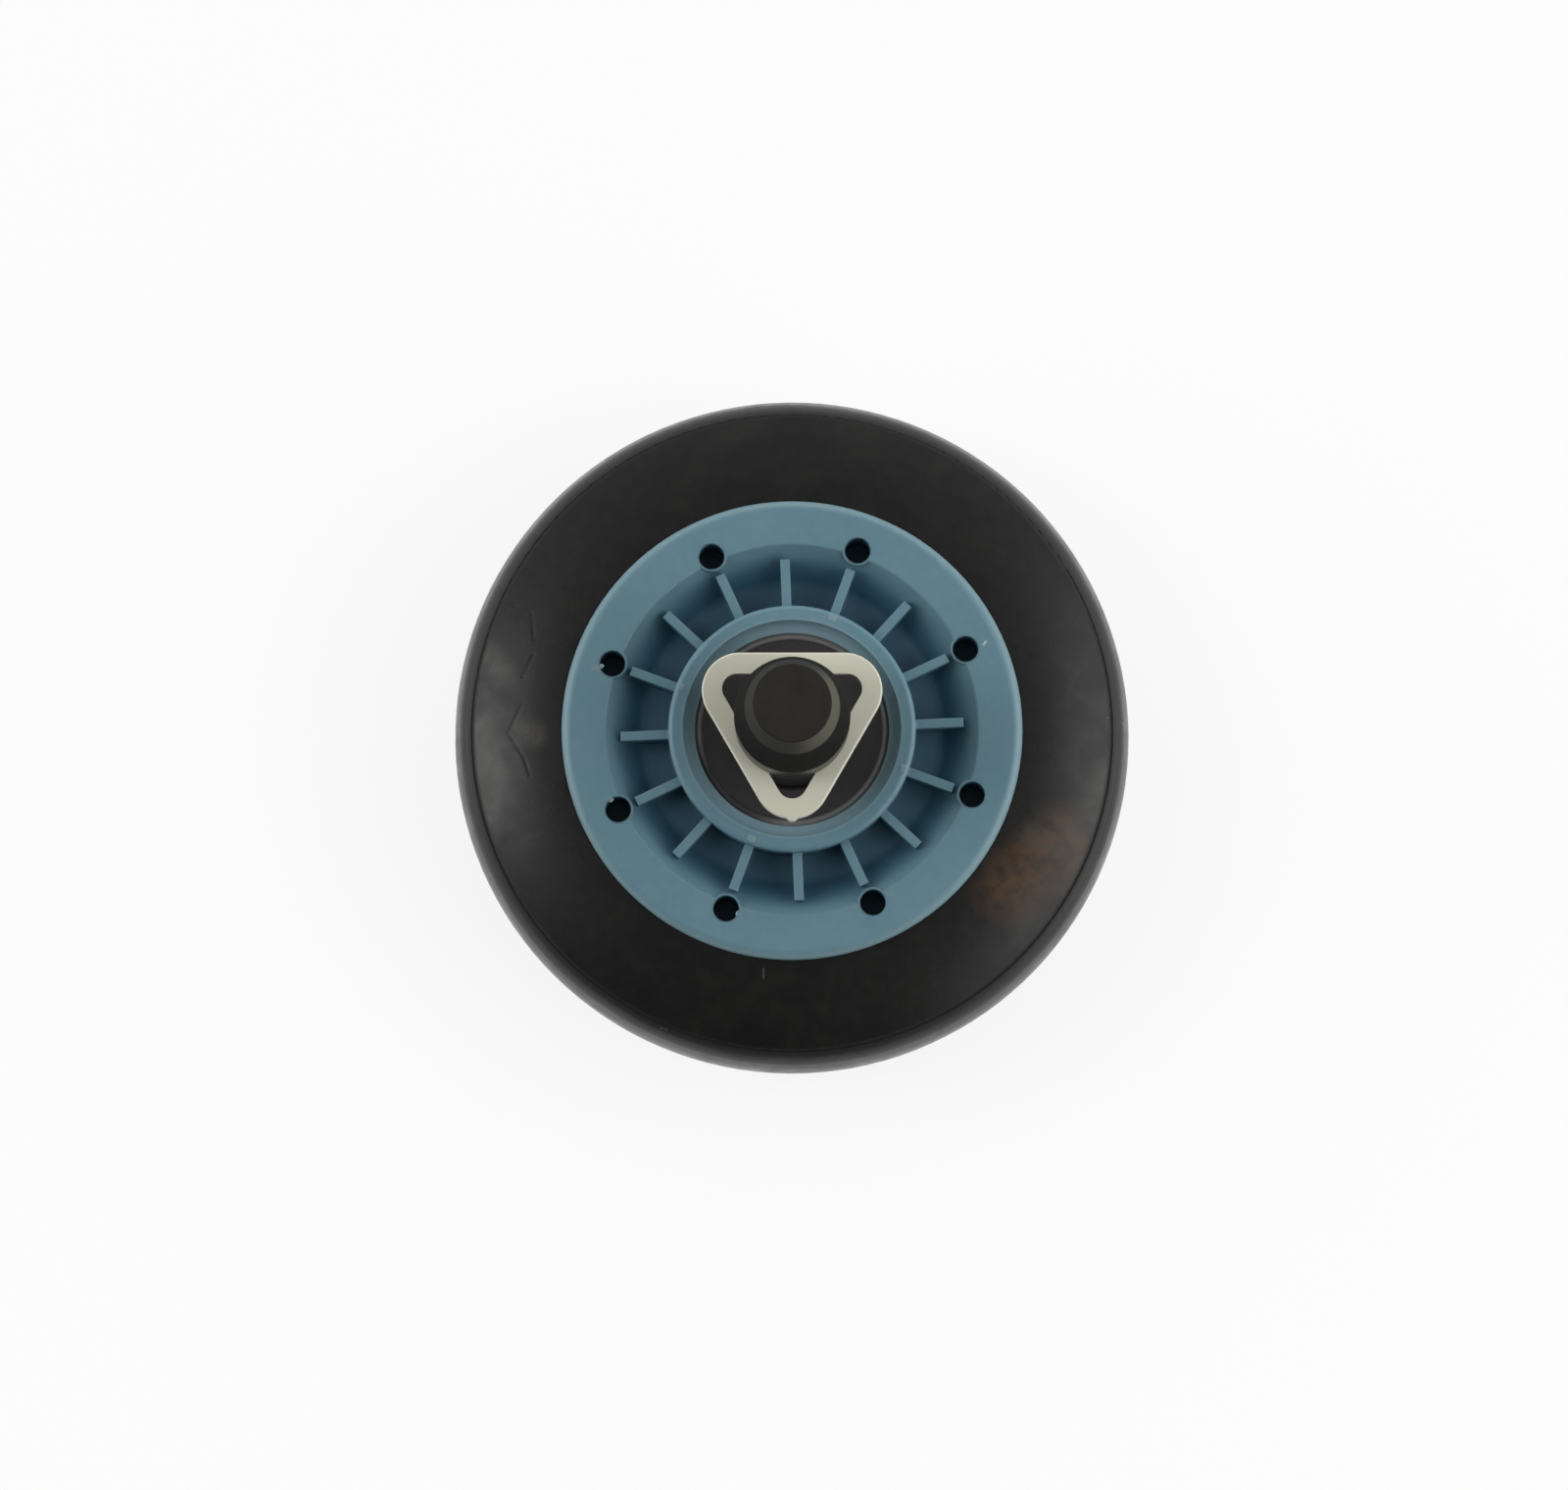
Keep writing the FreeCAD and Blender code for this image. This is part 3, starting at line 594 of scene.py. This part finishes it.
shine = add_node(tree, "Mix", {"Factor": ground, "A": 0.0, "B": 0.6}, data_type="FLOAT")
gloss = add_node(tree, "Mix", {"Factor": tip, "A": 0.75, "B": 0.5}, data_type="FLOAT")
gloss = add_node(tree, "Mix", {"Factor": ground, "A": gloss, "B": 0.3}, data_type="FLOAT")
edge = add_node(tree, "Bevel", {"Radius": 0.0005}, samples=6)
relief = add_node(tree, "Bump", {
    "Strength": 0.25, "Distance": 0.00001, "Height": mark, "Normal": edge})
metal = add_node(tree, "BsdfPrincipled", {
    "Base Color": tone, "Metallic": shine, "Roughness": gloss,
    "Specular IOR Level": 0.06, "Normal": relief})
add_node(tree, "OutputMaterial", {"Surface": metal})
nodes["shaft"].material_slots[0].material = steel


# Thread: M8 coarse, tapped in the shaft's rear end. One ridge winds up the wall
# of the hole, eleven turns of 1.25 mm.
thread_pitch = 0.00125
thread_turns = 11
thread_start = 0.0016
crest_radius = 0.00322
root_radius = 0.00346
ridge_half = 0.00045
bpy.ops.object.select_all(action="DESELECT")
bpy.ops.mesh.primitive_circle_add(vertices=3, radius=1, rotation=(radians(90), 0, 0))
thread = bpy.context.object
thread.name = "shaft_thread"
bpy.ops.object.transform_apply(location=True, rotation=True, scale=True)
lower, upper, crest = sorted(thread.data.vertices, key=lambda corner: corner.co.z)
lower.co = (root_radius, 0, thread_start - ridge_half)
upper.co = (root_radius, 0, thread_start + ridge_half)
crest.co = (crest_radius, 0, thread_start)
winding = thread.modifiers.new("winding", "SCREW")
winding.axis = "Z"
winding.angle = radians(360)
winding.screw_offset = thread_pitch
winding.iterations = thread_turns
winding.steps = 36
winding.render_steps = 36
bpy.ops.object.modifier_apply(modifier="winding")
bpy.ops.object.mode_set(mode="EDIT")
bpy.ops.mesh.select_all(action="SELECT")
bpy.ops.mesh.remove_doubles(threshold=0.000001)
bpy.ops.mesh.select_all(action="SELECT")
bpy.ops.mesh.fill_holes(sides=0)
bpy.ops.mesh.select_all(action="SELECT")
bpy.ops.mesh.normals_make_consistent(inside=False)
bpy.ops.object.mode_set(mode="OBJECT")
bpy.ops.object.shade_smooth_by_angle(angle=radians(35))
thread.data.materials.append(steel)
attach(thread, "axle")


# Retaining ring and thrust washer: off-white acetal, injection-moulded, smooth
# and a little yellowed.
acetal = bpy.data.materials.new("moulded_off_white_acetal")
acetal.use_nodes = True
tree = acetal.node_tree
tree.nodes.clear()
place = add_node(tree, "TexCoord").outputs["Object"]
drift = add_node(tree, "TexNoise", {
    "Vector": place, "Scale": 1 / 0.004, "Detail": 3.0, "Roughness": 0.5})
tone = add_node(tree, "Mix", {
    "Factor": drift, "A": colour("#cdccba"), "B": colour("#d5d4c3")}, data_type="RGBA")
edge = add_node(tree, "Bevel", {"Radius": 0.00006}, samples=6)
body = add_node(tree, "BsdfPrincipled", {
    "Base Color": tone, "Roughness": 0.4, "IOR": 1.48, "Normal": edge})
add_node(tree, "OutputMaterial", {"Surface": body})
for name in ("retaining_ring", "thrust_washer"):
    nodes[name].material_slots[0].material = acetal
